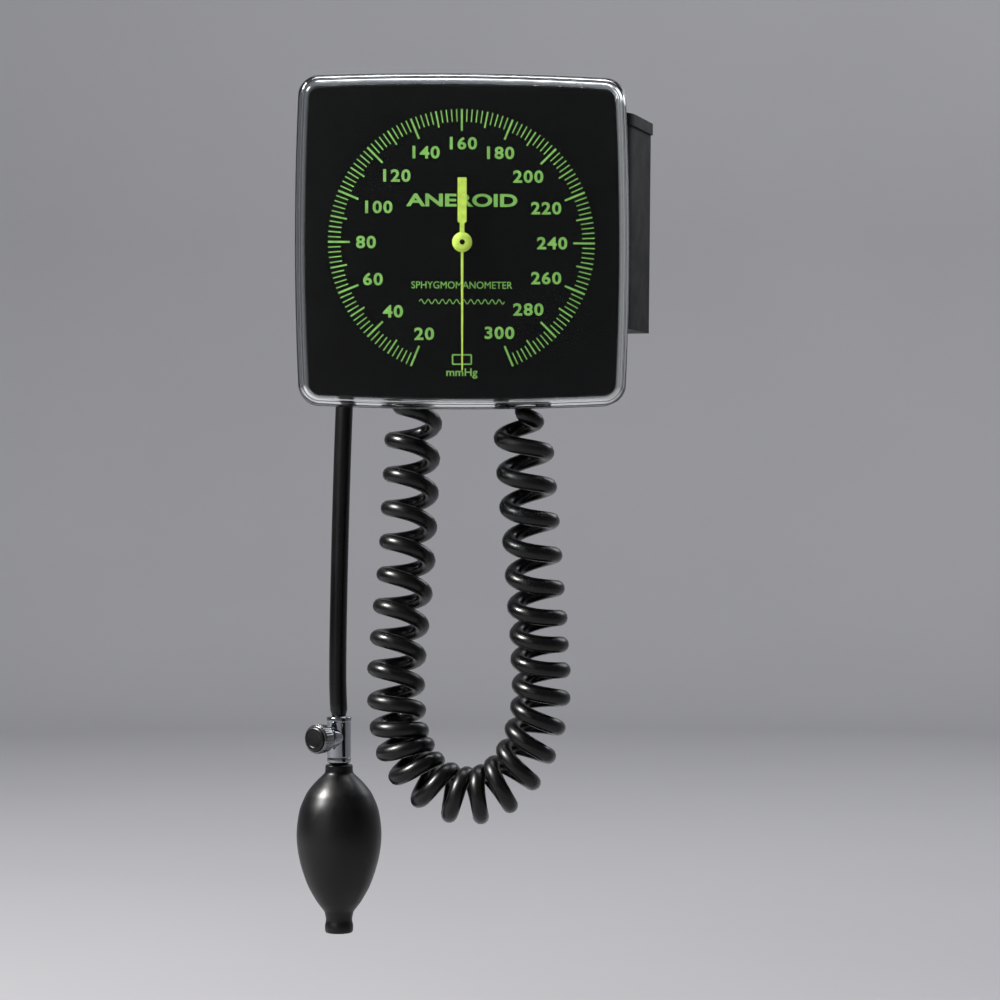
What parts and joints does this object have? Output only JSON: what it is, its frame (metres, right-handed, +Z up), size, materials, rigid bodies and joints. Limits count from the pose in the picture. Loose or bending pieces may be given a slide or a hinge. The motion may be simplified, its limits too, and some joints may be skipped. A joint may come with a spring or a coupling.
{
  "type": "wall-mounted aneroid blood pressure monitor",
  "caption": "Square dial gauge with a clear cover on a swivel arm and cuff basket, coiled hose in a U loop, straight hose to a release valve and rubber inflation bulb.",
  "frame": {"origin": "on the back of the wall plate, where it meets the wall, level with the gauge dial centre and in line with the swivel axis", "axes": "+Z up, -Y out from the wall toward the user, +X to the right as the user faces the wall"},
  "size_m": [0.1854, 0.1434, 0.4278],
  "materials": {
    "black_plastic": "fine-textured injection-moulded ABS",
    "black_rubber": "smooth satin latex-free rubber",
    "dial_black": "dead matt black dial face with luminous green print",
    "clear_acrylic": "polished clear acrylic",
    "chrome": "bright nickel-chrome plating",
    "steel": "zinc-plated steel",
    "brass": "machined brass",
    "luminous_print": "matt luminous yellow-green paint",
    "cuff_fabric": "dark navy coated nylon cloth",
    "white_plastic": "moulded nylon"
  },
  "bodies": {
    "root": {"wall_plate": "steel", "cuff_basket": "black_plastic", "basket_screw_1": "steel", "basket_screw_2": "steel", "basket_screw_3": "steel", "basket_screw_4": "steel", "swivel_arm": "black_plastic", "swivel_arm_screw_1": "steel", "swivel_arm_screw_2": "steel", "cuff": "cuff_fabric", "cuff_port_gauge": "black_rubber", "cuff_port_bulb": "black_rubber", "cuff_hose": "black_rubber", "cuff_connector": "white_plastic", "coil_connector": "white_plastic", "coiled_hose": "black_rubber", "bulb_hose": "black_rubber", "valve_body": "chrome", "valve_seal": "black_rubber", "inflation_bulb": "black_rubber", "intake_valve": "chrome"},
    "gauge_head": {"swivel_pin": "chrome", "swivel_yoke": "black_plastic", "swivel_washer_top": "white_plastic", "swivel_washer_bottom": "white_plastic", "swivel_nut": "steel", "yoke_screw_1": "steel", "yoke_screw_2": "steel", "yoke_screw_3": "steel", "yoke_screw_4": "steel", "case_back": "black_plastic", "lens_gasket": "black_rubber", "dial_plate": "dial_black", "lens": "clear_acrylic", "hose_barb": "brass", "movement_rear_plate": "brass", "movement_front_plate": "brass", "movement_screw_1": "steel", "movement_screw_2": "steel", "movement_screw_3": "steel", "movement_pillar_1": "brass", "movement_pillar_2": "brass", "movement_pillar_3": "brass", "capsule_base": "brass", "pressure_capsule": "brass", "hairspring": "steel", "capsule_hose": "black_rubber"},
    "capsule_follower": {"capsule_post": "steel"},
    "sector": {"sector_gear": "brass"},
    "pointer_set": {"pinion_shaft": "steel", "pointer": "luminous_print"},
    "valve_screw": {"valve_needle": "steel"},
    "valve_knob": {"valve_knob": "chrome"},
    "outlet_check": {"outlet_ball": "steel"},
    "intake_check": {"intake_ball": "steel"}
  },
  "joints": [
    {"name": "gauge_swivel", "type": "hinge", "parent": "root", "child": "gauge_head", "pos_m": [0, -0.075, 0], "axis": [0, 0, 1], "range_deg": [-45, 14]},
    {"name": "sector_turn", "type": "hinge", "parent": "gauge_head", "child": "sector", "pos_m": [0.00728, -0.10126, -0.0267], "axis": [0.2672, -0.9636, 0], "range_deg": [0, 33.75], "stiffness_Nm_per_rad": 0.05},
    {"name": "pointer_turn", "type": "hinge", "parent": "gauge_head", "child": "pointer_set", "pos_m": [0.01042, -0.11258, 0], "axis": [0.2672, -0.9636, 0], "range_deg": [-337.5, 0]},
    {"name": "capsule_stroke", "type": "slide", "parent": "gauge_head", "child": "capsule_follower", "axis": [0.2672, -0.9636, 0], "range_m": [0, 0.0015]},
    {"name": "valve_needle_slide", "type": "slide", "parent": "root", "child": "valve_screw", "axis": [-0.4067, -0.9135, 0], "range_m": [0, 0.002]},
    {"name": "valve_knob_turn", "type": "hinge", "parent": "valve_screw", "child": "valve_knob", "pos_m": [-0.0742, -0.028, -0.2466], "axis": [-0.4067, -0.9135, 0], "range_deg": [0, 720]},
    {"name": "outlet_ball_lift", "type": "slide", "parent": "root", "child": "outlet_check", "axis": [0, 0, 1], "range_m": [0, 0.0008]},
    {"name": "intake_ball_lift", "type": "slide", "parent": "root", "child": "intake_check", "axis": [0, 0, 1], "range_m": [0, 0.0008]}
  ],
  "couplings": [
    {"joint": "pointer_turn", "follows": "sector_turn", "ratio": -10},
    {"joint": "capsule_stroke", "follows": "sector_turn", "m_per_rad": 0.002546},
    {"joint": "valve_needle_slide", "follows": "valve_knob_turn", "m_per_rad": 0.00015915}
  ]
}
